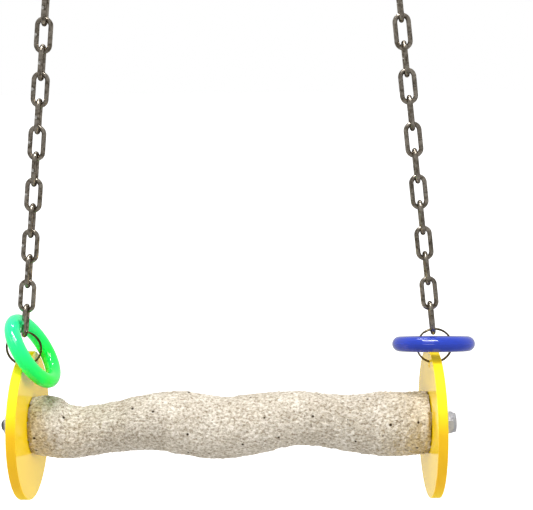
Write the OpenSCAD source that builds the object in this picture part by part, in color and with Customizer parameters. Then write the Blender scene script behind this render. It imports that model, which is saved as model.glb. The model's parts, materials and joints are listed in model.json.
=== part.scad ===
/* [Perch] */
// Length of the perch between the two discs
perch_len = 252; // [180:1:320]
// Nominal thickness of the perch
perch_d = 38; // [30:0.5:46]
// Outside diameter of the core tube that the perch is cast on
core_d = 14; // [11:0.5:18]

/* [End discs] */
// Diameter of each end disc
disc_d = 94; // [84:1:110]
// Thickness of each end disc
disc_t = 6; // [4:0.5:8]
// Diameter of the hanging hole near the rim
hang_hole_d = 5.2; // [4.6:0.1:6.5]
// Wall between the hanging hole and the rim
hang_web = 5.4; // [4:0.1:7]
// Radius that rounds the rim's edges
disc_edge = 0.5; // [0.3:0.1:1]

/* [Rod and nuts] */
// Diameter of the through rod
rod_d = 8; // [6:0.5:9]
// Length of rod showing beyond the left nut
rod_stick = 2.8; // [1:0.1:8]
// Width of each nut across its flats
nut_af = 13; // [11:0.5:16]
// Thickness of each nut
nut_t = 8; // [5:0.5:10]
// Outside diameter of each flat washer
washer_d = 16; // [14:0.5:20]
// Thickness of each flat washer
washer_t = 1.6; // [1:0.1:2.5]
// Thickness of each split lock washer
lock_t = 2; // [1.2:0.1:3]

/* [Chain] */
// Thickness of the chain wire
link_wire = 2.8; // [2.4:0.1:3]
// Distance from one link's middle to the next
link_pitch = 16; // [14:0.5:18]
// Inside width of a link
link_inner_w = 5.2; // [4.8:0.1:6.5]
// Open joint where the ends of a link meet
butt_gap = 0.2; // [0.1:0.1:0.8]
// Slant of that joint across the wire, in degrees
butt_slant = 24; // [0:1:30]
// Lean of each chain towards the middle, in degrees
chain_lean = 6.85; // [0:0.05:10]

/* [Split rings] */
// Outside diameter of each split ring
split_d = 22.8; // [21:0.2:26]
// Thickness of the split ring's wire
split_wire = 1.1; // [0.9:0.1:1.3]

/* [Toy rings] */
// Outside diameter of each toy ring
toy_d = 52.2; // [50:0.2:56]
// Thickness of each toy ring
toy_tube = 9.8; // [8:0.2:10.4]
// How far the blue ring is tipped back, in degrees
blue_roll = 16.2; // [10:0.1:18]
// How far the blue ring's middle lies outside its disc's mid plane
blue_out = 0.6; // [0:0.1:1]

/* [Quick links] */
// Thickness of a quick link's wire
quick_wire = 3.5; // [3:0.1:4]
// Inside length of a quick link
quick_len = 30; // [28:0.5:36]
// Inside width of a quick link
quick_w = 11; // [9:0.5:12]
// Width of the sleeve nut across its flats
sleeve_af = 6.5; // [6:0.1:8]
// Length of the sleeve nut
sleeve_len = 10; // [9:0.5:12]
// Gate that the sleeve nut closes
gate_gap = 6; // [5:0.5:7]

/* [Hidden] */
chain_links = 13;
link_numbers = [for (n = [1:chain_links]) n];

left = -1;
right = 1;
steel = "dimgray";
bright = "silver";
acrylic = "gold";
exact_fn = 96;
wire_fn = 32;
hex = 6;

// Clearances: between links, in the hanging hole, round the green ring and under the blue ring
link_play = 0.2;
seat_play = 0.3;
toy_play = 0.9;
rim_play = 0.4;
// Room between the blue ring's hole and the split ring's side
blue_swing = 2.3;
// Clearances: round the core tube, over a thread and round the rod
cast_gap = 0.05;
thread_gap = 0.05;
rod_gap = 0.3;
// How far each cut runs past the faces that it opens
cut_over = 1;

// Perch outline as shares: place along the half length, rise and girth of the half thickness
perch_wave_shares = [
  [-1.00, 0.00, 0.94], [-0.93, -0.03, 1.00], [-0.88, -0.09, 1.00], [-0.82, -0.25, 0.87],
  [-0.76, -0.29, 0.83], [-0.68, -0.20, 0.82], [-0.58, -0.07, 0.845], [-0.47, 0.06, 0.915],
  [-0.36, 0.095, 0.97], [-0.24, 0.03, 1.045], [-0.14, -0.07, 1.045], [-0.02, -0.13, 1.005],
  [0.10, -0.05, 1.015], [0.18, 0.02, 1.00], [0.27, 0.13, 0.94], [0.355, 0.20, 0.90],
  [0.43, 0.16, 0.88], [0.52, 0.07, 0.88], [0.60, -0.02, 0.925], [0.69, -0.05, 0.99],
  [0.77, -0.03, 1.06], [0.88, -0.02, 1.065], [1.00, 0.03, 1.05]
];
perch_rings = 56;
perch_sides = 32;
// Depth of the slow lumps round the perch, as a share of its half thickness
lump_share = 0.035;

// Discs, rod and nuts, measured from the middle of the perch
disc_r = disc_d / 2;
disc_mid = perch_len / 2 + disc_t / 2;
disc_face = perch_len / 2 + disc_t;
rod_hole_d = rod_d + rod_gap;
hang_top = disc_r - hang_web;
nut_seat = disc_face + washer_t + lock_t;
nut_end = nut_seat + nut_t;
nut_corner = nut_af / cos(180 / hex);
collar_share = 0.28;
collar_t = nut_t * collar_share;
lock_ring_share = 0.9;
lock_d = nut_corner * lock_ring_share;
lock_slot = lock_t / 2;
rod_edge = rod_d / 8;
core_bore = rod_d + 2 * rod_gap;

// Split ring: it hangs with its lowest bend just under the hole's top edges
split_r = split_d / 2 - split_wire / 2;
split_in = split_d / 2 - split_wire;
coil_step = split_wire * 0.9;
ring_rise = hang_top + sqrt(split_in * split_in - disc_t * disc_t / 4) - seat_play;

// Chain: distances run down the leaning line from the hang point on the cage bar
quick_low = quick_len;
top_wire = quick_low - link_wire / 2 - link_play;
link_in = link_pitch + link_play;
link_reach = (link_in + link_wire) / 2;
link_bend = (link_inner_w + link_wire) / 2;
link_leg = link_reach - link_bend;
link_13_at = top_wire + link_reach;
low_wire = link_13_at + (chain_links - 1) * link_pitch + link_reach;
ring_at = low_wire - link_wire / 2 - link_play - split_wire / 2 + split_r;
hang_half = disc_mid - ring_at * sin(chain_lean);
disc_z = -ring_at * cos(chain_lean) - ring_rise;

// Quick link and its sleeve nut
quick_bend = (quick_w + quick_wire) / 2;
quick_mid = quick_len / 2;
quick_leg = (quick_len + quick_wire) / 2 - quick_bend;
gate_low = -quick_leg * 0.7;
sleeve_low = gate_low - (sleeve_len - gate_gap) / 2;
sleeve_edge = quick_wire / 8;

// Toy rings
toy_r = (toy_d - toy_tube) / 2;
// Blue ring: its back or its front rests on the rim, and the split ring keeps it from rolling on
seat_r = disc_r + toy_tube / 2 + rim_play;
blue_hole = toy_r - toy_tube / 2 - blue_swing;
blue_shift = sqrt(max(blue_hole * blue_hole - split_d * split_d / 4, 0));
rise_up = ring_rise * cos(blue_roll);
rise_back = ring_rise * sin(blue_roll);
blue_lift = max(seat_lift(blue_shift + toy_r - rise_back), seat_lift(blue_shift - toy_r - rise_back));
blue_back = blue_shift * cos(blue_roll) + blue_lift * sin(blue_roll);
blue_rise = ring_rise - blue_shift * sin(blue_roll) + blue_lift * cos(blue_roll);

// Green ring: its upper side hangs beside the last link and the split ring, and it leans on the rim
green_reach = split_d / 2 + toy_tube / 2 + toy_play;
green_side = asin((link_wire / 2 + toy_tube / 2 + toy_play) / green_reach) - chain_lean;
green_high = [-green_reach * sin(green_side), ring_rise + green_reach * cos(green_side)];
bulge_share = 1.1;
tilt_flat = 0;
tilt_steep = 85;
tilt_halvings = 20;
green_tilt = lean_on(tilt_flat, tilt_steep, tilt_halvings);

function link_node(side_name, n) = str(side_name, "_link_", n < 10 ? "0" : "", n);
function link_at(n) = link_13_at + (chain_links - n) * link_pitch;

// Height of the blue ring's plane over the split ring's middle when a side of it lies on the rim
function seat_lift(across) = sqrt(seat_r * seat_r - across * across) - rise_up;

// Tilt at which the green ring just clears the disc and the perch, found by halving
function green_point(tilt, turn) =
  let (along = toy_r * (1 + cos(turn)))
  [green_high[0] + along * cos(tilt), toy_r * sin(turn), green_high[1] - along * sin(tilt)];
function disc_gap(p) = norm([max(abs(p[0]) - disc_t / 2, 0), max(norm([p[1], p[2]]) - disc_r, 0)]);
function perch_gap(p) = norm([p[1], p[2]]) - bulge_share * perch_d / 2;
function green_gap(tilt) =
  let (points = [for (turn = [0:3:180]) green_point(tilt, turn)])
  min([for (p = points) min(disc_gap(p), perch_gap(p))]) - toy_tube / 2;
function lean_on(low, high, halvings) =
  let (tilt = (low + high) / 2)
  halvings == 0 ? low
  : green_gap(tilt) > toy_play ? lean_on(tilt, high, halvings - 1)
  : lean_on(low, tilt, halvings - 1);

// Blend between two stations of the perch outline
function ease(t) = (1 - cos(180 * t)) / 2;
function station(x, k = 0) =
  x <= perch_wave_shares[k + 1][0] || k + 2 >= len(perch_wave_shares) ? k : station(x, k + 1);
function wave(x, column) =
  let (
    k = station(x),
    a = perch_wave_shares[k],
    b = perch_wave_shares[k + 1],
    t = (x - a[0]) / (b[0] - a[0])
  ) a[column] + (b[column] - a[column]) * ease(min(max(t, 0), 1));
// Slow lumps that turn round the bar as they go along it
function lump(x, angle) =
  lump_share * (sin(2 * angle + 500 * x) + sin(3 * angle - 760 * x + 40)) / 2;
function perch_point(x, angle) =
  let (girth = (wave(x, 2) + lump(x, angle)) * perch_d / 2)
  [x * perch_len / 2, girth * cos(angle), girth * sin(angle) + wave(x, 1) * perch_d / 2];

module tube_ring(radius, thickness) {
  rotate_extrude($fn = exact_fn) translate([radius, 0]) circle(d = thickness, $fn = wire_fn);
}

// A half ring that stands up in the XZ plane and closes the top of a link
module half_bend(radius, thickness) {
  rotate([90, 0, 0])
    rotate_extrude(angle = 180, $fn = exact_fn) translate([radius, 0]) circle(d = thickness, $fn = wire_fn);
}

// A long closed loop of wire in the XZ plane
module wire_loop(radius, leg, thickness) {
  for (end = [0, 1]) mirror([0, 0, end]) translate([0, 0, leg]) half_bend(radius, thickness);
  for (edge = [left, right])
    translate([edge * radius, 0, -leg]) cylinder(d = thickness, h = 2 * leg, $fn = wire_fn);
}

// Puts a piece on the leaning line of one chain, a distance down from the cage bar
module on_chain(side, distance) {
  translate([side * hang_half, 0, 0]) rotate([0, -side * chain_lean, 0]) translate([0, 0, -distance])
    children();
}

// Puts a piece on the axis of the rod, pointing outwards from a place on one side
module on_rod(side, place) {
  translate([side * place, 0, disc_z]) rotate([0, side * 90, 0]) children();
}

module perch_skin() {
  points = [
    for (i = [0:perch_rings]) for (j = [0:perch_sides - 1])
      perch_point(2 * i / perch_rings - 1, 360 * j / perch_sides)
  ];
  walls = [
    for (i = [0:perch_rings - 1]) for (j = [0:perch_sides - 1])
      let (a = i * perch_sides + j, b = i * perch_sides + (j + 1) % perch_sides)
      each [[a, b, b + perch_sides], [a, b + perch_sides, a + perch_sides]]
  ];
  start = [for (j = [0:perch_sides - 1]) perch_sides - 1 - j];
  end = [for (j = [0:perch_sides - 1]) perch_rings * perch_sides + j];
  polyhedron(points, concat(walls, [start], [end]));
}

module perch() {
  color("tan") difference() {
    translate([0, 0, disc_z]) perch_skin();
    on_rod(right, -perch_len / 2 - cut_over)
      cylinder(d = core_d + 2 * cast_gap, h = perch_len + 2 * cut_over, $fn = exact_fn);
  }
}

module core_tube() {
  color("white") difference() {
    on_rod(right, -perch_len / 2) cylinder(d = core_d, h = perch_len, $fn = exact_fn);
    on_rod(right, -perch_len / 2 - cut_over)
      cylinder(d = core_bore, h = perch_len + 2 * cut_over, $fn = exact_fn);
  }
}

// Half section of a disc, with its rim's edges rounded
module disc_section() {
  square([disc_r - disc_edge, disc_t]);
  translate([0, disc_edge]) square([disc_r, disc_t - 2 * disc_edge]);
  for (edge = [disc_edge, disc_t - disc_edge])
    translate([disc_r - disc_edge, edge]) circle(r = disc_edge, $fn = wire_fn);
}

module disc(side) {
  color(acrylic) difference() {
    on_rod(side, perch_len / 2) rotate_extrude($fn = exact_fn) disc_section();
    on_rod(side, perch_len / 2 - cut_over)
      cylinder(d = rod_hole_d, h = disc_t + 2 * cut_over, $fn = exact_fn);
    translate([0, 0, hang_top - hang_hole_d / 2]) on_rod(side, perch_len / 2 - cut_over)
      cylinder(d = hang_hole_d, h = disc_t + 2 * cut_over, $fn = exact_fn);
  }
}

module through_rod() {
  body_len = 2 * nut_end + rod_stick - 2 * rod_edge;
  color(steel) on_rod(right, -nut_end - rod_stick) {
    cylinder(d1 = rod_d - 2 * rod_edge, d2 = rod_d, h = rod_edge, $fn = exact_fn);
    translate([0, 0, rod_edge]) cylinder(d = rod_d, h = body_len, $fn = exact_fn);
    translate([0, 0, rod_edge + body_len])
      cylinder(d1 = rod_d, d2 = rod_d - 2 * rod_edge, h = rod_edge, $fn = exact_fn);
  }
}

module washer(side) {
  color(bright) on_rod(side, disc_face) difference() {
    cylinder(d = washer_d, h = washer_t, $fn = exact_fn);
    translate([0, 0, -cut_over]) cylinder(d = rod_hole_d, h = washer_t + 2 * cut_over, $fn = exact_fn);
  }
}

module lock_washer(side) {
  color(bright) on_rod(side, disc_face + washer_t) difference() {
    cylinder(d = lock_d, h = lock_t, $fn = exact_fn);
    translate([0, 0, -cut_over]) cylinder(d = rod_hole_d, h = lock_t + 2 * cut_over, $fn = exact_fn);
    translate([-lock_slot / 2, 0, -cut_over]) cube([lock_slot, lock_d, lock_t + 2 * cut_over]);
  }
}

// Hexagonal nut whose outer end is a round collar
module rod_nut(side) {
  chamfer = nut_corner - nut_af;
  hex_t = nut_t - collar_t;
  cone = nut_corner - chamfer;
  bore = rod_d + 2 * thread_gap;
  color(bright) on_rod(side, nut_seat) difference() {
    union() {
      intersection() {
        cylinder(d = nut_corner, h = hex_t, $fn = hex);
        cylinder(d1 = cone + 2 * hex_t, d2 = cone + chamfer / 2, h = hex_t, $fn = exact_fn);
      }
      translate([0, 0, hex_t])
        cylinder(d1 = nut_af, d2 = nut_af - chamfer / 2, h = collar_t, $fn = exact_fn);
    }
    translate([0, 0, -cut_over]) cylinder(d = bore, h = nut_t + 2 * cut_over, $fn = exact_fn);
  }
}

// Two coils of wire side by side, standing in the XZ plane
module split_ring(side) {
  color(steel) translate([side * disc_mid, 0, disc_z + ring_rise]) rotate([90, 0, 0])
    rotate_extrude($fn = exact_fn) for (coil = [left, right])
      translate([split_r, coil * coil_step / 2]) circle(d = split_wire, $fn = wire_fn);
}

// Even links face the front, odd links stand edge on, and each is open where its ends meet
module chain_link(side, n) {
  turn = n % 2 == 0 ? 0 : 90;
  open_edge = side;
  color(steel) on_chain(side, link_at(n)) rotate([0, 0, turn]) difference() {
    wire_loop(link_bend, link_leg, link_wire);
    translate([open_edge * link_bend, 0, 0]) rotate([butt_slant, 0, 0])
      cube([link_wire + cut_over, link_wire + cut_over, butt_gap], center = true);
  }
}

module quick_link(side) {
  color(bright) on_chain(side, quick_mid) difference() {
    wire_loop(quick_bend, quick_leg, quick_wire);
    translate([side * quick_bend, 0, gate_low + gate_gap / 2])
      cube([quick_wire + cut_over, quick_wire + cut_over, gate_gap], center = true);
  }
}

module sleeve_nut(side) {
  corner = sleeve_af / cos(180 / hex);
  tip = corner - sleeve_edge;
  cone = tip + 2 * sleeve_len;
  color(bright) on_chain(side, quick_mid) translate([side * quick_bend, 0, sleeve_low]) difference() {
    intersection() {
      cylinder(d = corner, h = sleeve_len, $fn = hex);
      cylinder(d1 = tip, d2 = cone, h = sleeve_len, $fn = exact_fn);
      cylinder(d1 = cone, d2 = tip, h = sleeve_len, $fn = exact_fn);
    }
    translate([0, 0, -cut_over])
      cylinder(d = quick_wire + 2 * thread_gap, h = sleeve_len + 2 * cut_over, $fn = exact_fn);
  }
}

// The green ring hangs tilted round the left chain
module green_ring() {
  color("mediumspringgreen")
    translate([left * (disc_mid - green_high[0]), 0, disc_z + green_high[1]]) rotate([0, green_tilt, 0])
      translate([toy_r, 0, 0]) tube_ring(toy_r, toy_tube);
}

// The blue ring lies over the right disc's rim, tipped back
module blue_ring() {
  color("royalblue")
    translate([right * (disc_mid + blue_out), blue_back, disc_z + blue_rise]) rotate([-blue_roll, 0, 0])
      tube_ring(toy_r, toy_tube);
}

perch();
core_tube();
disc(left);  // left_disc
disc(right);  // right_disc
through_rod();
washer(left);  // left_washer
washer(right);  // right_washer
lock_washer(left);  // left_lock_washer
lock_washer(right);  // right_lock_washer
rod_nut(left);  // left_nut
rod_nut(right);  // right_nut
split_ring(left);  // left_split_ring
split_ring(right);  // right_split_ring
green_ring();
blue_ring();
quick_link(left);  // left_quick_link
quick_link(right);  // right_quick_link
sleeve_nut(left);  // left_sleeve_nut
sleeve_nut(right);  // right_sleeve_nut
for (n = link_numbers) chain_link(left, n);
for (n = link_numbers) chain_link(right, n);
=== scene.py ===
import json
import math
import bmesh
import bpy
from mathutils import Matrix, Vector


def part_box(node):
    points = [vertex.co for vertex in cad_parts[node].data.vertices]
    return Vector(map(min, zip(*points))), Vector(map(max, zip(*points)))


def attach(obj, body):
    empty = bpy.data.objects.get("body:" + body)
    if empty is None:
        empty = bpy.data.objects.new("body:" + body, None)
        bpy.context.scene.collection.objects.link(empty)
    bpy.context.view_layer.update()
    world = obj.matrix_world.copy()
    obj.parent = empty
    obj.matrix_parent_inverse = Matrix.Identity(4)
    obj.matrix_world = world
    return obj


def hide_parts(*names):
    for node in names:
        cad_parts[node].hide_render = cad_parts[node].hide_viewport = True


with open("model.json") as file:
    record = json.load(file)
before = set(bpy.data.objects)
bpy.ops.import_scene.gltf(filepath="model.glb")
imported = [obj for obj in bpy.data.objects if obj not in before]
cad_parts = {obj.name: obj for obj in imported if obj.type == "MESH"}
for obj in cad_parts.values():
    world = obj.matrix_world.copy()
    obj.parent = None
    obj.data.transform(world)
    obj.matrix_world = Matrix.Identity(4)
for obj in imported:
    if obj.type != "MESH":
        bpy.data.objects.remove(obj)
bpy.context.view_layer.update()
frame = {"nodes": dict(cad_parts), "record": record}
print("swing: frame loaded")

mm = 0.001


def middleOf(node):
    low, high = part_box(node)
    return (low + high) / 2


# the perch's axis and the places along and around it that the pieces keep to, read from the solids
swingPlaces = {
    "axisZ": middleOf("core_tube").z,
    "perchEnd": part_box("core_tube")[1].x,
    "discEdge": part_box("right_disc")[1].y,
    "rodLeft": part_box("through_rod")[0].x,
    "rodRight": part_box("through_rod")[1].x,
}
onAxis = Vector((0, 0, swingPlaces["axisZ"]))


def clearSelection():
    if bpy.context.mode != "OBJECT":
        bpy.ops.object.mode_set(mode="OBJECT")
    bpy.ops.object.select_all(action="DESELECT")


def onlySelect(obj):
    clearSelection()
    obj.select_set(True)
    bpy.context.view_layer.objects.active = obj


def nameIt(name):
    obj = bpy.context.object
    obj.name = name
    obj.data.name = name
    return obj


def placeInMesh(obj):
    onlySelect(obj)
    bpy.ops.object.transform_apply(location=True, rotation=True, scale=True)


# selects in edit mode by a test on each vertex, edge or face
def editPick(obj, kind, test):
    bpy.ops.mesh.select_mode(type=kind)
    bpy.ops.mesh.select_all(action="DESELECT")
    shape = bmesh.from_edit_mesh(obj.data)
    items = {"VERT": shape.verts, "EDGE": shape.edges, "FACE": shape.faces}[kind]
    for item in items:
        if test(item):
            item.select_set(True)
    shape.select_flush_mode()
    bmesh.update_edit_mesh(obj.data)


# merges points that lie within a few thousandths of a millimetre and turns all faces outwards
def closeUp(threshold=0.005):
    bpy.ops.mesh.select_all(action="SELECT")
    bpy.ops.mesh.remove_doubles(threshold=threshold * mm)
    bpy.ops.mesh.normals_make_consistent(inside=False)
    bpy.ops.object.mode_set(mode="OBJECT")


def dressPiece(obj, body, slotName, node, angle=None):
    onlySelect(obj)
    if angle is None:
        bpy.ops.object.shade_smooth()
    else:
        bpy.ops.object.shade_smooth_by_angle(angle=math.radians(angle))
    obj.data.materials.clear()
    obj.data.materials.append(finishes[slotName])
    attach(obj, body)
    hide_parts(node)
    clearSelection()
    return obj


def startMaterial(name):
    material = bpy.data.materials.new(name)
    material.use_nodes = True
    tree = material.node_tree
    tree.nodes.clear()
    out = tree.nodes.new("ShaderNodeOutputMaterial")
    shader = tree.nodes.new("ShaderNodeBsdfPrincipled")
    tree.links.new(shader.outputs["BSDF"], out.inputs["Surface"])
    place = tree.nodes.new("ShaderNodeTexCoord")
    return material, tree, shader, place.outputs["Object"]


def feed(tree, socket, value):
    if isinstance(value, tuple):
        socket.default_value = (*value, 1.0) if len(value) == 3 and socket.type == "RGBA" else value
    elif isinstance(value, (int, float)):
        socket.default_value = value
    else:
        tree.links.new(value, socket)


def mathOn(tree, operation, first, second=0.0):
    node = tree.nodes.new("ShaderNodeMath")
    node.operation = operation
    feed(tree, node.inputs[0], first)
    feed(tree, node.inputs[1], second)
    return node.outputs["Value"]


def noiseOn(tree, coords, scale, detail=2.0, rough=0.5, distort=0.0):
    noise = tree.nodes.new("ShaderNodeTexNoise")
    for label, value in (("Vector", coords), ("Scale", scale), ("Detail", detail),
                         ("Roughness", rough), ("Distortion", distort)):
        feed(tree, noise.inputs[label], value)
    return noise.outputs["Fac"]


def cellsOn(tree, coords, scale):
    cells = tree.nodes.new("ShaderNodeTexVoronoi")
    feed(tree, cells.inputs["Vector"], coords)
    feed(tree, cells.inputs["Scale"], scale)
    return cells


def moveCoords(tree, coords, location=(0, 0, 0), scale=(1, 1, 1)):
    mapping = tree.nodes.new("ShaderNodeMapping")
    mapping.inputs["Location"].default_value = location
    mapping.inputs["Scale"].default_value = scale
    tree.links.new(coords, mapping.inputs["Vector"])
    return mapping.outputs["Vector"]


def rampOn(tree, value, stops):
    ramp = tree.nodes.new("ShaderNodeValToRGB")
    tree.links.new(value, ramp.inputs["Fac"])
    band = ramp.color_ramp
    while len(band.elements) < len(stops):
        band.elements.new(0.5)
    for element, (place, colour) in zip(band.elements, stops):
        element.position = place
        element.color = (*colour, 1.0)
    return ramp.outputs["Color"]


def rangeOn(tree, value, low, high, newLow=0.0, newHigh=1.0):
    remap = tree.nodes.new("ShaderNodeMapRange")
    for label, number in (("Value", value), ("From Min", low), ("From Max", high),
                          ("To Min", newLow), ("To Max", newHigh)):
        feed(tree, remap.inputs[label], number)
    return remap.outputs["Result"]


def partsOf(tree, coords):
    parts = tree.nodes.new("ShaderNodeSeparateXYZ")
    tree.links.new(coords, parts.inputs["Vector"])
    return parts.outputs


def mixColours(tree, share, first, second, blend="MIX"):
    mix = tree.nodes.new("ShaderNodeMix")
    mix.data_type = "RGBA"
    mix.blend_type = blend
    sockets = [s for s in mix.inputs if s.enabled]
    for socket, value in zip(sockets, (share, first, second)):
        feed(tree, socket, value)
    return next(s for s in mix.outputs if s.enabled)


def bumpOn(tree, height, strength, distance, before=None):
    bump = tree.nodes.new("ShaderNodeBump")
    bump.inputs["Strength"].default_value = strength
    bump.inputs["Distance"].default_value = distance * mm
    tree.links.new(height, bump.inputs["Height"])
    if before is not None:
        tree.links.new(before, bump.inputs["Normal"])
    return bump.outputs["Normal"]


castLook = {
    "grain": 640, "grainNoise": (3.0, 0.62, 0.25), "grainShare": 0.78, "stretch": (0.8, 1.0, 1.15),
    "fine": 1700, "fineNoise": (2.0, 0.6), "fineShare": 0.22,
    "grainAndCreviceShade": ((0.37, (0.32, 0.26, 0.185)), (0.45, (0.52, 0.46, 0.37)),
              (0.52, (0.66, 0.60, 0.505)), (0.63, (0.87, 0.82, 0.745))),
    "patch": 55, "patchSpread": (0.3, 0.7), "patchShare": 0.3, "patchTint": (0.52, 0.46, 0.37),
    "pits": 230, "pitSize": 0.15, "pitEdge": 0.09, "pitShare": 0.15, "pitShade": (0.06, 0.04, 0.025),
    "endShadeAndStain": (0.42, 0.30, 0.13), "endDepth": 2.2, "endShare": 0.85,
    "endShadeSpread": (0.35, 0.6), "endShadeRange": (1.0, 0.4),
    "relief": 1.5, "pitRelief": 0.8, "pitStrength": 0.7, "roughness": 0.95, "gloss": 0.2,
}


# pebbly sand and cement: pale grains with darker crevices between them, the crevice colour partly painted
# shade as it follows the bump's low places, and a few open pits painted near-black as painted shade inside
# them
def castMineral():
    material, tree, shader, coords = startMaterial("castMineral")
    stretched = moveCoords(tree, coords, scale=castLook["stretch"])
    grain = noiseOn(tree, stretched, castLook["grain"], *castLook["grainNoise"])
    fine = noiseOn(tree, coords, castLook["fine"], *castLook["fineNoise"])
    mixed = mathOn(tree, "ADD", mathOn(tree, "MULTIPLY", grain, castLook["grainShare"]),
                   mathOn(tree, "MULTIPLY", fine, castLook["fineShare"]))
    # the grain's own tones, with painted shade in the crevices and painted light on the crests, since the
    # colour follows the same noise as the bump
    base = rampOn(tree, mixed, castLook["grainAndCreviceShade"])
    clouds = noiseOn(tree, coords, castLook["patch"])
    patch = rangeOn(tree, clouds, *castLook["patchSpread"], 0.0, castLook["patchShare"])
    base = mixColours(tree, patch, base, castLook["patchTint"], "MULTIPLY")
    cells = cellsOn(tree, coords, castLook["pits"])
    chosen = tree.nodes.new("ShaderNodeSeparateColor")
    tree.links.new(cells.outputs["Color"], chosen.inputs["Color"])
    size = castLook["pitSize"]
    inPit = rangeOn(tree, cells.outputs["Distance"], size, size + castLook["pitEdge"], 1.0, 0.0)
    few = mathOn(tree, "LESS_THAN", chosen.outputs["Red"], castLook["pitShare"])
    pits = mathOn(tree, "MULTIPLY", inPit, few)
    # painted shade: the open pits are coloured near-black, the shade inside them
    base = mixColours(tree, pits, base, castLook["pitShade"])
    # painted shade with some brownish stain: the perch turns darker amber towards each end, where it meets
    # the discs
    along = mathOn(tree, "ABSOLUTE", partsOf(tree, coords)["X"])
    end = swingPlaces["perchEnd"]
    endShadeMask = rangeOn(tree, along, end - castLook["endDepth"] * mm, end, 0.0, castLook["endShare"])
    uneven = rangeOn(tree, grain, *castLook["endShadeSpread"], *castLook["endShadeRange"])
    base = mixColours(tree, mathOn(tree, "MULTIPLY", endShadeMask, uneven), base, castLook["endShadeAndStain"])
    tree.links.new(base, shader.inputs["Base Color"])
    shader.inputs["Roughness"].default_value = castLook["roughness"]
    shader.inputs["Specular IOR Level"].default_value = castLook["gloss"]
    grainy = bumpOn(tree, mixed, 1.0, castLook["relief"])
    raised = mathOn(tree, "SUBTRACT", 1.0, pits)
    pitted = bumpOn(tree, raised, castLook["pitStrength"], castLook["pitRelief"], grainy)
    tree.links.new(pitted, shader.inputs["Normal"])
    return material


acrylicLook = {
    "face": (1.0, 0.67, 0.0), "rimDepth": 0.6, "indexOfRefraction": 1.49,
    "rim": ((0.06, (1.0, 0.70, 0.0)), (0.24, (0.86, 0.475, 0.0)), (0.60, (0.76, 0.44, 0.0)),
            (0.81, (0.93, 0.80, 0.0)), (0.92, (1.0, 0.88, 0.0)), (0.98, (1.0, 0.70, 0.0))),
    "scuffs": 70, "scuffNoise": (5.0, 0.65, 0.3), "scuffSpread": (0.45, 0.75),
    "polish": 0.035, "scuffed": 0.09, "sawn": 0.7,
    "sawMarks": 900, "markStretch": (0.15, 1, 1), "markStrength": 0.12, "markDepth": 0.15,
}


# the cut edge's colour follows its height as painted light and shade: lemon towards its top, where light
# from above falls, darker amber through its lower middle, and more orange in a thin band at the very top, as
# painted shade under the blue ring; the polished faces stay amber
def yellowAcrylic():
    material, tree, shader, coords = startMaterial("yellowAcrylic")
    centred = moveCoords(tree, coords, tuple(-v for v in onAxis))
    flat = moveCoords(tree, centred, scale=(0, 1, 1))
    reach = tree.nodes.new("ShaderNodeVectorMath")
    reach.operation = "LENGTH"
    tree.links.new(flat, reach.inputs[0])
    radius = swingPlaces["discEdge"]
    onRim = rangeOn(tree, reach.outputs["Value"], radius - acrylicLook["rimDepth"] * mm,
                    radius - acrylicLook["rimDepth"] / 3 * mm)
    height = rangeOn(tree, partsOf(tree, centred)["Z"], -radius, radius)
    # painted light and shade: the cut edge's colour is read from its height
    rim = rampOn(tree, height, acrylicLook["rim"])
    tree.links.new(mixColours(tree, onRim, acrylicLook["face"], rim), shader.inputs["Base Color"])
    scuffs = noiseOn(tree, coords, acrylicLook["scuffs"], *acrylicLook["scuffNoise"])
    polished = rangeOn(tree, scuffs, *acrylicLook["scuffSpread"], acrylicLook["polish"],
                       acrylicLook["scuffed"])
    matt = mathOn(tree, "MULTIPLY", onRim, acrylicLook["sawn"])
    tree.links.new(mathOn(tree, "MAXIMUM", polished, matt), shader.inputs["Roughness"])
    shader.inputs["IOR"].default_value = acrylicLook["indexOfRefraction"]
    sawn = noiseOn(tree, moveCoords(tree, coords, scale=acrylicLook["markStretch"]), acrylicLook["sawMarks"])
    marks = mathOn(tree, "MULTIPLY", sawn, mathOn(tree, "MULTIPLY", onRim, 0.5))
    cut = bumpOn(tree, marks, acrylicLook["markStrength"], acrylicLook["markDepth"])
    tree.links.new(cut, shader.inputs["Normal"])
    return material


toyLooks = {
    "green_plastic": {"name": "greenPlastic", "node": "green_ring", "main": (0.002, 0.86, 0.10),
                      "deep": (0.001, 0.82, 0.045), "upper": (0.020, 0.84, 0.30)},
    "blue_plastic": {"name": "bluePlastic", "node": "blue_ring", "main": (0.009, 0.022, 0.26),
                     "deep": (0.006, 0.016, 0.20), "upper": (0.016, 0.046, 0.42)},
}


toyGloss = {
    "clouds": 45, "cloudSpread": (0.38, 0.62), "paintedLightFrom": 0.35,
    "smudges": 300, "smudgeNoise": (4.0, 0.6), "smudgeSpread": (0.3, 0.8), "clean": 0.04, "smudged": 0.10,
    "indexOfRefraction": 1.5, "coat": 0.3, "coatRoughness": 0.04,
    "waves": 120, "waveStrength": 0.35, "waveDepth": 0.6, "ripples": 420, "rippleStrength": 0.12,
    "rippleDepth": 0.12,
}
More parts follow.
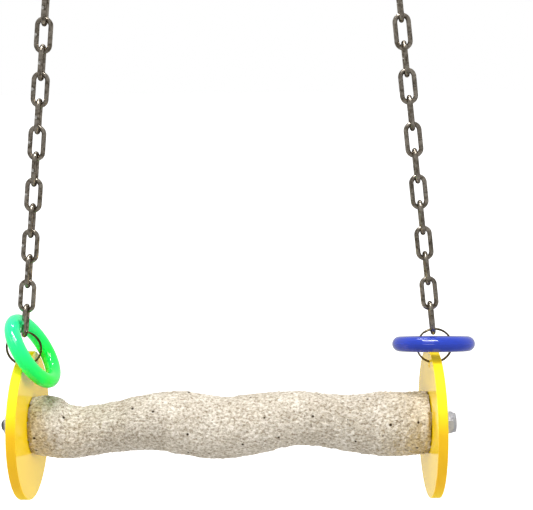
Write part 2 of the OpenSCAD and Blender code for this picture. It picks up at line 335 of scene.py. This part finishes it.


# moulded plastic, painted paler towards its top as painted light and sheen from above, with a little
# waviness that breaks its highlights into streaks
def toyPlastic(look):
    material, tree, shader, coords = startMaterial(look["name"])
    cloud = rangeOn(tree, noiseOn(tree, coords, toyGloss["clouds"]), *toyGloss["cloudSpread"])
    base = mixColours(tree, cloud, look["deep"], look["main"])
    low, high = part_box(look["node"])
    paintedLightFrom = low.z + (high.z - low.z) * toyGloss["paintedLightFrom"]
    # painted light: the top of the ring takes the paler colour
    upper = rangeOn(tree, partsOf(tree, coords)["Z"], paintedLightFrom, high.z)
    tree.links.new(mixColours(tree, upper, base, look["upper"]), shader.inputs["Base Color"])
    smudges = noiseOn(tree, coords, toyGloss["smudges"], *toyGloss["smudgeNoise"])
    rough = rangeOn(tree, smudges, *toyGloss["smudgeSpread"], toyGloss["clean"], toyGloss["smudged"])
    tree.links.new(rough, shader.inputs["Roughness"])
    shader.inputs["IOR"].default_value = toyGloss["indexOfRefraction"]
    shader.inputs["Coat Weight"].default_value = toyGloss["coat"]
    shader.inputs["Coat Roughness"].default_value = toyGloss["coatRoughness"]
    waves = noiseOn(tree, coords, toyGloss["waves"])
    wavy = bumpOn(tree, waves, toyGloss["waveStrength"], toyGloss["waveDepth"])
    ripples = noiseOn(tree, coords, toyGloss["ripples"])
    fine = bumpOn(tree, ripples, toyGloss["rippleStrength"], toyGloss["rippleDepth"], wavy)
    tree.links.new(fine, shader.inputs["Normal"])
    return material


steelLooks = {
    "chain_steel": {"name": "chainSteel", "dark": (0.17, 0.142, 0.105), "light": (0.55, 0.49, 0.41),
                    "roughness": 0.25, "edge": 0.05, "scale": 420, "bareAndGlint": (1.0, 0.97, 0.91)},
    "ring_steel": {"name": "ringSteel", "dark": (0.09, 0.068, 0.032), "light": (0.20, 0.16, 0.09),
                   "roughness": 0.3, "edge": 0.1, "scale": 300},
    "rod_steel": {"name": "rodSteel", "dark": (0.15, 0.14, 0.13), "light": (0.30, 0.29, 0.27),
                  "roughness": 0.36, "edge": 0.3, "scale": 500},
    "zinc_hardware": {"name": "zincHardware", "dark": (0.72, 0.72, 0.76), "light": (1.0, 1.0, 1.0),
                      "roughness": 0.32, "edge": 0.6, "scale": 260},
    "quick_link_steel": {"name": "quickLinkSteel", "dark": (0.34, 0.34, 0.35), "light": (0.60, 0.60, 0.61),
                         "roughness": 0.22, "edge": 0.4, "scale": 260},
}


bareGlintSpot = {"halfHeight": 1.6, "near": 0.75, "far": 1.2, "side": (-0.6, -1.25, 0.0)}


# the two cut wire ends of a link are the only points of its mesh halfway up its legs
def cutPlace(node):
    middle = middleOf(node)
    ends = [v.co for v in frame["nodes"][node].data.vertices
            if abs(v.co.z - middle.z) < bareGlintSpot["halfHeight"] * mm]
    return sum(ends, Vector()) / len(ends)


# near-white on the front-left side of the place where each link of the left chain was cut: partly the cut
# steel's own brightness, partly a painted glint
def bareGlintShare(tree, coords):
    nearest = None
    for node in sorted(name for name in frame["nodes"] if name.startswith("left_link_")):
        reach = tree.nodes.new("ShaderNodeVectorMath")
        reach.operation = "DISTANCE"
        tree.links.new(coords, reach.inputs[0])
        reach.inputs[1].default_value = cutPlace(node) + Vector(bareGlintSpot["side"]) * mm
        away = reach.outputs["Value"]
        nearest = away if nearest is None else mathOn(tree, "MINIMUM", nearest, away)
    return rangeOn(tree, nearest, bareGlintSpot["near"] * mm, bareGlintSpot["far"] * mm, 1.0, 0.0)


steelSkin = {
    "dirtNoise": (4.0, 0.6, 0.2), "darkAt": 0.36, "lightAt": 0.64,
    "dirtSpread": (0.3, 0.7), "dirtRoughness": 0.12,
    "pits": 1400, "pitNoise": (3.0, 0.6), "pitStrength": 0.15, "pitDepth": 0.15,
}


# dull wire with darker dirt and fine pits; "edge" is how much of its grazing shine it keeps
def wireSteel(look):
    material, tree, shader, coords = startMaterial(look["name"])
    dirt = noiseOn(tree, coords, look["scale"], *steelSkin["dirtNoise"])
    base = rampOn(tree, dirt, ((steelSkin["darkAt"], look["dark"]), (steelSkin["lightAt"], look["light"])))
    if "bareAndGlint" in look:
        # painted glint with cut steel: the cut places are mixed towards near-white
        base = mixColours(tree, bareGlintShare(tree, coords), base, look["bareAndGlint"])
    tree.links.new(base, shader.inputs["Base Color"])
    rough = look["roughness"]
    dull = rangeOn(tree, dirt, *steelSkin["dirtSpread"], rough + steelSkin["dirtRoughness"], rough)
    tree.links.new(dull, shader.inputs["Roughness"])
    shader.inputs["Metallic"].default_value = 1.0
    shader.inputs["Specular Tint"].default_value = (look["edge"], look["edge"], look["edge"], 1.0)
    pits = noiseOn(tree, coords, steelSkin["pits"], *steelSkin["pitNoise"])
    tree.links.new(bumpOn(tree, pits, steelSkin["pitStrength"], steelSkin["pitDepth"]),
                   shader.inputs["Normal"])
    return material


tubeLook = {
    "clouds": 200, "cloudNoise": (3.0, 0.6), "shade": (0.62, 0.61, 0.57), "light": (0.75, 0.74, 0.70),
    "roughness": 0.5, "relief": 0.3, "strength": 0.1,
}


def tubePlastic():
    material, tree, shader, coords = startMaterial("corePlastic")
    cloud = noiseOn(tree, coords, tubeLook["clouds"], *tubeLook["cloudNoise"])
    base = mixColours(tree, cloud, tubeLook["shade"], tubeLook["light"])
    tree.links.new(base, shader.inputs["Base Color"])
    shader.inputs["Roughness"].default_value = tubeLook["roughness"]
    tree.links.new(bumpOn(tree, cloud, tubeLook["strength"], tubeLook["relief"]), shader.inputs["Normal"])
    return material


finishes = {"mineral": castMineral(), "yellow_acrylic": yellowAcrylic(), "core_plastic": tubePlastic()}
for slotName, look in toyLooks.items():
    finishes[slotName] = toyPlastic(look)
for slotName, look in steelLooks.items():
    finishes[slotName] = wireSteel(look)
solidAngle = 32
slotOf = {part["node"]: part["material_slot"] for part in frame["record"]["subparts"]}
for nodeName, node in frame["nodes"].items():
    node.data.materials.clear()
    node.data.materials.append(finishes[slotOf[nodeName]])
    onlySelect(node)
    bpy.ops.object.shade_smooth_by_angle(angle=math.radians(solidAngle))
clearSelection()
print("swing: finishes set on", len(frame["nodes"]), "solids")


castPerch = {
    "voxel": 0.76, "endKeep": 0.4, "endTaper": 3.0, "fadeIn": 2.0, "bore": 11.0,
    "relief": (
        {"kind": "CLOUDS", "size": 9.0, "strength": 0.7, "middle": 0.5, "group": "skin"},
        {"kind": "CLOUDS", "size": 2.4, "strength": 1.0, "middle": 0.5, "group": "skin"},
        {"kind": "VORONOI", "size": 2.8, "strength": 0.5, "middle": 0.35, "group": "skin"},
        {"kind": "CLOUDS", "size": 4.0, "strength": 2.4, "middle": 0.72, "group": "ends"},
    ),
}


# the solid's own surface made rough, with its end faces and its bore left as they are
def makeCastPerch():
    onlySelect(frame["nodes"]["perch"])
    bpy.ops.object.duplicate(linked=False)
    cast = nameIt("castPerch")
    cast.parent = None
    cast.matrix_world = Matrix.Identity(4)
    bpy.ops.object.mode_set(mode="EDIT")
    closeUp()
    cast.data.remesh_voxel_size = castPerch["voxel"] * mm
    bpy.ops.object.voxel_remesh()
    skin = cast.vertex_groups.new(name="skin")
    ends = cast.vertex_groups.new(name="ends")
    end = swingPlaces["perchEnd"]
    keep = end - castPerch["endKeep"] * mm
    for vertex in cast.data.vertices:
        x, y, z = vertex.co
        if math.hypot(y, z - swingPlaces["axisZ"]) < castPerch["bore"] * mm:
            continue
        inside = keep - abs(x)
        if inside > 0:
            skin.add([vertex.index], min(1.0, inside / (castPerch["fadeIn"] * mm)), "REPLACE")
        near = 1 - (end - abs(x)) / (castPerch["endTaper"] * mm)
        if near > 0 and math.hypot(vertex.normal.y, vertex.normal.z) > 0.5:
            ends.add([vertex.index], near, "REPLACE")
    for number, layer in enumerate(castPerch["relief"]):
        texture = bpy.data.textures.new(f"castRelief{number}", layer["kind"])
        texture.noise_scale = layer["size"] * mm
        push = cast.modifiers.new(f"relief{number}", "DISPLACE")
        push.texture = texture
        push.texture_coords = "LOCAL"
        push.strength = layer["strength"] * mm
        push.mid_level = layer["middle"]
        push.vertex_group = layer["group"]
        onlySelect(cast)
        bpy.ops.object.modifier_apply(modifier=push.name)
    print("swing: cast perch has", len(cast.data.polygons), "faces")
    return dressPiece(cast, "perch_bar", "mineral", "perch")


splitRing = {
    "wire": 1.1, "sides": 14, "step": 0.99, "coilAngle": 332.0, "turnSteps": 88,
    "jogAngle": 30.0, "jogSteps": 6, "weld": 0.01, "smoothAngle": 40,
    "left": {"start": 60, "node": "left_split_ring", "body": "left_ring_body"},
    "right": {"start": 128, "node": "right_split_ring", "body": "right_ring_body"},
}


# a wound ring: one flat coil, a short jog sideways, and a second flat coil
def makeSplitRing(name, ringSide):
    low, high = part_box(ringSide["node"])
    centre = (low + high) / 2
    radius = (high.x - low.x - splitRing["wire"] * mm) / 2
    turn = math.radians(ringSide["start"])
    step = splitRing["step"] * mm
    start = centre + Vector((radius * math.cos(turn), -step / 2, radius * math.sin(turn)))
    clearSelection()
    bpy.ops.mesh.primitive_circle_add(vertices=splitRing["sides"], radius=splitRing["wire"] * mm / 2,
                                      fill_type="NGON", location=start, rotation=(0, -turn, 0))
    ring = nameIt(name)
    placeInMesh(ring)
    bpy.ops.object.mode_set(mode="EDIT")
    bpy.ops.mesh.select_all(action="SELECT")

    def sweep(steps, angle):
        bpy.ops.mesh.spin(steps=steps, angle=math.radians(angle), center=centre, axis=(0, -1, 0))

    sweep(splitRing["turnSteps"], splitRing["coilAngle"])
    for _ in range(splitRing["jogSteps"]):
        sweep(1, splitRing["jogAngle"] / splitRing["jogSteps"])
        bpy.ops.transform.translate(value=(0, step / splitRing["jogSteps"], 0))
    sweep(splitRing["turnSteps"], splitRing["coilAngle"])
    closeUp(splitRing["weld"])
    return dressPiece(ring, ringSide["body"], "ring_steel", ringSide["node"], splitRing["smoothAngle"])


rodThread = {
    "radius": 4.0, "shank": 3.98, "depth": 0.5, "pitch": 1.25, "steps": 40, "tipSpare": 0.1,
    "weld": 0.005, "sides": 48, "endInset": 0.6, "endStep": 0.4, "reach": 4.0, "overlap": 0.5,
    "facing": 0.9, "samePlace": 0.02, "smoothAngle": 35,
    "profile": ((0, 0), (0.36, 1), (0.5, 1), (0.86, 0), (1.0, 0)),
    "dome": ((0.0, 0.94), (0.6, 0.9), (0.6, 0.75), (0.4, 0.55)),  # each step out, and what width it leaves
}


# a screw surface between two places on the rod, closed at both ends
def makeThread(name, startX, endX):
    pitch = rodThread["pitch"] * mm
    clearSelection()
    bpy.ops.mesh.primitive_plane_add(size=pitch, location=(0, 0, 0))
    thread = nameIt(name)
    bpy.ops.object.mode_set(mode="EDIT")
    editPick(thread, "VERT", lambda v: v.co.y > 0)
    bpy.ops.mesh.delete(type="VERT")
    bpy.ops.mesh.select_all(action="SELECT")
    bpy.ops.mesh.subdivide(number_cuts=len(rodThread["profile"]) - 2)
    shape = bmesh.from_edit_mesh(thread.data)
    root = (rodThread["radius"] - rodThread["depth"]) * mm
    profile = sorted(shape.verts, key=lambda v: v.co.x)
    for vertex, (along, height) in zip(profile, rodThread["profile"]):
        vertex.co = (startX - pitch + along * pitch, 0, root + height * rodThread["depth"] * mm)
    bmesh.update_edit_mesh(thread.data)
    bpy.ops.object.mode_set(mode="OBJECT")
    screw = thread.modifiers.new("wind", "SCREW")
    screw.axis = "X"
    screw.screw_offset = pitch
    screw.iterations = int((endX - startX) / pitch) + 3
    screw.steps = rodThread["steps"]
    screw.render_steps = rodThread["steps"]
    screw.use_merge_vertices = True
    onlySelect(thread)
    bpy.ops.object.modifier_apply(modifier="wind")
    bpy.ops.object.mode_set(mode="EDIT")
    bpy.ops.mesh.select_all(action="SELECT")
    bpy.ops.mesh.remove_doubles(threshold=rodThread["weld"] * mm)
    for place, direction in ((startX, -1), (endX, 1)):
        bpy.ops.mesh.select_all(action="SELECT")
        bpy.ops.mesh.bisect(plane_co=(place, 0, 0), plane_no=(direction, 0, 0),
                            clear_outer=True, use_fill=True)
    closeUp()
    thread.location = onAxis
    placeInMesh(thread)
    return thread


# pushes the outer face of a thread out in steps that close in, as on a rounded rod end
def domeEnd(thread, side, place):
    onlySelect(thread)
    bpy.ops.object.mode_set(mode="EDIT")
    editPick(thread, "FACE", lambda f: f.normal.x * side > rodThread["facing"]
             and abs(f.calc_center_median().x - place) < rodThread["samePlace"] * mm)
    for out, share in rodThread["dome"]:
        place += side * out * mm
        bpy.ops.mesh.extrude_region_move(TRANSFORM_OT_translate={"value": (side * out * mm, 0, 0)})
        bpy.ops.transform.resize(value=(1, share, share),
                                 center_override=(place, 0, swingPlaces["axisZ"]))
    bpy.ops.object.mode_set(mode="OBJECT")


# a plain shank with a threaded and rounded end on either side, in one mesh
def makeThroughRod():
    inner = swingPlaces["perchEnd"] + rodThread["reach"] * mm
    clearSelection()
    bpy.ops.mesh.primitive_cylinder_add(vertices=rodThread["sides"], radius=rodThread["shank"] * mm,
                                        depth=2 * inner, location=onAxis, rotation=(0, math.pi / 2, 0))
    rod = nameIt("throughRod")
    placeInMesh(rod)
    bpy.ops.object.mode_set(mode="EDIT")
    for side in (-1, 1):
        editPick(rod, "FACE", lambda f: f.normal.x * side > rodThread["facing"])
        bpy.ops.mesh.inset(thickness=rodThread["endInset"] * mm)
        bpy.ops.transform.translate(value=(side * rodThread["endStep"] * mm, 0, 0))
    bpy.ops.object.mode_set(mode="OBJECT")
    domeReach = (sum(out for out, _ in rodThread["dome"]) + rodThread["tipSpare"]) * mm
    tips = ((-1, swingPlaces["rodLeft"] + domeReach), (1, swingPlaces["rodRight"] - domeReach))
    threads = []
    for side, tip in tips:
        begin, finish = sorted((side * (inner - rodThread["overlap"] * mm), tip))
        thread = makeThread("rodThreadLeft" if side < 0 else "rodThreadRight", begin, finish)
        domeEnd(thread, side, tip)
        threads.append(thread)
    clearSelection()
    for piece in (rod, *threads):
        piece.select_set(True)
    bpy.context.view_layer.objects.active = rod
    bpy.ops.object.join()
    return dressPiece(rod, "perch_bar", "rod_steel", "through_rod", rodThread["smoothAngle"])


toyRing = {
    "tube": 4.9, "around": 160, "section": 40, "ridge": 0.10, "ridgeHalf": 0.12,
    "green": {"node": "green_ring", "body": "green_toy", "slot": "green_plastic", "axis": "Y", "way": 1},
    "blue": {"node": "blue_ring", "body": "blue_toy", "slot": "blue_plastic", "axis": "X", "way": -1},
}


# a moulded ring with the fine ridge where the two halves of its mould met
def makeToyRing(name, toy):
    low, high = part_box(toy["node"])
    tube = toyRing["tube"] * mm
    half = (high - low) / 2
    across = half.x if toy["axis"] == "Y" else half.y
    lean = math.atan2(half.z - tube, across - tube)  # the ring's box tells how far it is tipped
    radius = math.hypot(half.z - tube, across - tube)
    ridge = toyRing["ridge"] * mm
    clearSelection()
    bpy.ops.mesh.primitive_torus_add(major_segments=toyRing["around"], minor_segments=toyRing["section"],
                                     major_radius=radius, minor_radius=tube - ridge)
    ring = nameIt(name)
    outer = radius + tube - ridge
    widest = 1 + ridge / outer

    def onSeam(vertex):
        return abs(vertex.co.z) < ridge / 10 and math.hypot(vertex.co.x, vertex.co.y) > outer - 2 * ridge

    bpy.ops.object.mode_set(mode="EDIT")
    editPick(ring, "VERT", onSeam)
    bpy.ops.mesh.bevel(offset=toyRing["ridgeHalf"] * mm, segments=2, affect="EDGES")
    editPick(ring, "VERT", onSeam)
    bpy.ops.transform.resize(value=(widest, widest, 1))
    bpy.ops.object.mode_set(mode="OBJECT")
    tipped = Matrix.Rotation(toy["way"] * lean, 4, toy["axis"])
    ring.matrix_world = Matrix.Translation((low + high) / 2) @ tipped
    placeInMesh(ring)
    return dressPiece(ring, toy["body"], toy["slot"], toy["node"])


makeCastPerch()
makeSplitRing("splitRingLeft", splitRing["left"])
makeSplitRing("splitRingRight", splitRing["right"])
print("swing: split rings made")
makeThroughRod()
print("swing: rod made")
makeToyRing("greenRing", toyRing["green"])
makeToyRing("blueRing", toyRing["blue"])
print("swing: toy rings made")


studio = {
    "floorPlace": (0, 2.0, -0.62), "floorSize": 12.0, "floorColour": (0.60, 0.60, 0.60, 1),
    "floorGlow": 0.9, "worldLight": 0.55,
    "behindSeen": 0.62, "frontSeen": 0.40,  # what reflections see behind the swing and in front of it
    "floorTurn": (-0.2, 0.4), "worldTurn": (-0.2, 0.35),  # where one passes into the other
}


# one strength for what the camera sees, one for reflections, and one that lights the swing
def strengthFor(tree, seen, reflected, lighting):
    rays = tree.nodes.new("ShaderNodeLightPath").outputs
    direct = mathOn(tree, "MAXIMUM", rays["Is Camera Ray"], rays["Is Transmission Ray"])
    other = mathOn(tree, "SUBTRACT", 1.0, mathOn(tree, "MAXIMUM", direct, rays["Is Glossy Ray"]))
    total = mathOn(tree, "ADD", mathOn(tree, "MULTIPLY", direct, seen),
                   mathOn(tree, "MULTIPLY", rays["Is Glossy Ray"], reflected))
    return mathOn(tree, "ADD", total, mathOn(tree, "MULTIPLY", other, lighting))


# dark in front of the swing, pale behind it
def depthStrength(tree, coords, turn):
    depth = partsOf(tree, coords)["Y"]
    return rangeOn(tree, depth, turn[0], turn[1], studio["frontSeen"], studio["behindSeen"])


def makeFloor():
    clearSelection()
    bpy.ops.mesh.primitive_plane_add(size=studio["floorSize"], location=studio["floorPlace"])
    floor = nameIt("studioFloor")
    placeInMesh(floor)
    material = bpy.data.materials.new("paleFloor")
    material.use_nodes = True
    tree = material.node_tree
    tree.nodes.clear()
    out = tree.nodes.new("ShaderNodeOutputMaterial")
    matt = tree.nodes.new("ShaderNodeBsdfDiffuse")
    matt.inputs["Color"].default_value = studio["floorColour"]
    glow = tree.nodes.new("ShaderNodeEmission")
    coords = tree.nodes.new("ShaderNodeTexCoord").outputs["Object"]
    reflected = depthStrength(tree, coords, studio["floorTurn"])
    tree.links.new(strengthFor(tree, studio["floorGlow"], reflected, 0.0), glow.inputs["Strength"])
    add = tree.nodes.new("ShaderNodeAddShader")
    tree.links.new(matt.outputs["BSDF"], add.inputs[0])
    tree.links.new(glow.outputs["Emission"], add.inputs[1])
    mirrored = tree.nodes.new("ShaderNodeMixShader")  # reflections see the glow alone
    tree.links.new(tree.nodes.new("ShaderNodeLightPath").outputs["Is Glossy Ray"], mirrored.inputs[0])
    tree.links.new(add.outputs["Shader"], mirrored.inputs[1])
    tree.links.new(glow.outputs["Emission"], mirrored.inputs[2])
    tree.links.new(mirrored.outputs["Shader"], out.inputs["Surface"])
    floor.data.materials.append(material)


# white for the camera, dimmer for what it lights
def makeWorld():
    world = bpy.data.worlds.new("studioWorld")
    bpy.context.scene.world = world
    world.use_nodes = True
    tree = world.node_tree
    tree.nodes.clear()
    out = tree.nodes.new("ShaderNodeOutputWorld")
    sky = tree.nodes.new("ShaderNodeBackground")
    sky.inputs["Color"].default_value = (1, 1, 1, 1)
    direction = tree.nodes.new("ShaderNodeTexCoord").outputs["Generated"]
    reflected = depthStrength(tree, direction, studio["worldTurn"])
    tree.links.new(strengthFor(tree, 1.0, reflected, studio["worldLight"]), sky.inputs["Strength"])
    tree.links.new(sky.outputs["Background"], out.inputs["Surface"])


studioLamps = (
    {"name": "mainSoft", "place": (-0.30, -0.62, 1.02), "size": (0.7, 0.4), "watts": 4.5},
    {"name": "topStrip", "place": (-0.1, -0.20, 1.0), "size": (0.8, 0.14), "watts": 12.0},
    {"name": "backStrip", "place": (-0.1, 0.55, 0.95), "size": (0.6, 0.06), "watts": 3.0},
    {"name": "leftSoft", "place": (-1.35, -0.45, -0.15), "size": (0.5, 0.7), "watts": 12.0, "shine": False},
    {"name": "rightSoft", "place": (1.35, -0.45, -0.15), "size": (0.5, 0.7), "watts": 12.0, "shine": False},
)
lampAim = Vector((0, 0, -0.25))


def makeLamps():
    for lamp in studioLamps:
        clearSelection()
        bpy.ops.object.light_add(type="AREA", location=lamp["place"])
        light = nameIt(lamp["name"])
        light.data.shape = "RECTANGLE"
        light.data.size, light.data.size_y = lamp["size"]
        light.data.energy = lamp["watts"]
        light.visible_glossy = lamp.get("shine", True)  # the two side lamps would whiten the steel's edges
        light.rotation_euler = (lampAim - Vector(lamp["place"])).to_track_quat("-Z", "Y").to_euler()


photoCamera = {
    "place": (0.033, -0.637, -0.0465), "yaw": 0.77, "tilt": 77.53, "roll": -0.60,
    "sensor": 36.0, "lens": 71.53, "near": 0.02,
}


def makeCamera():
    clearSelection()
    bpy.ops.object.camera_add(location=photoCamera["place"])
    camera = nameIt("photoCamera")
    yaw = Matrix.Rotation(math.radians(photoCamera["yaw"]), 3, "Z")
    tilt = Matrix.Rotation(math.radians(photoCamera["tilt"]), 3, "X")
    roll = Matrix.Rotation(math.radians(photoCamera["roll"]), 3, "Z")
    camera.rotation_euler = (yaw @ tilt @ roll).to_euler()
    camera.data.sensor_width = photoCamera["sensor"]
    camera.data.sensor_fit = "HORIZONTAL"
    camera.data.lens = photoCamera["lens"]
    camera.data.clip_start = photoCamera["near"]
    bpy.context.scene.camera = camera


makeFloor()
makeWorld()
makeLamps()
makeCamera()
bpy.context.scene.view_settings.view_transform = "Standard"
clearSelection()
print("swing: scene ready")
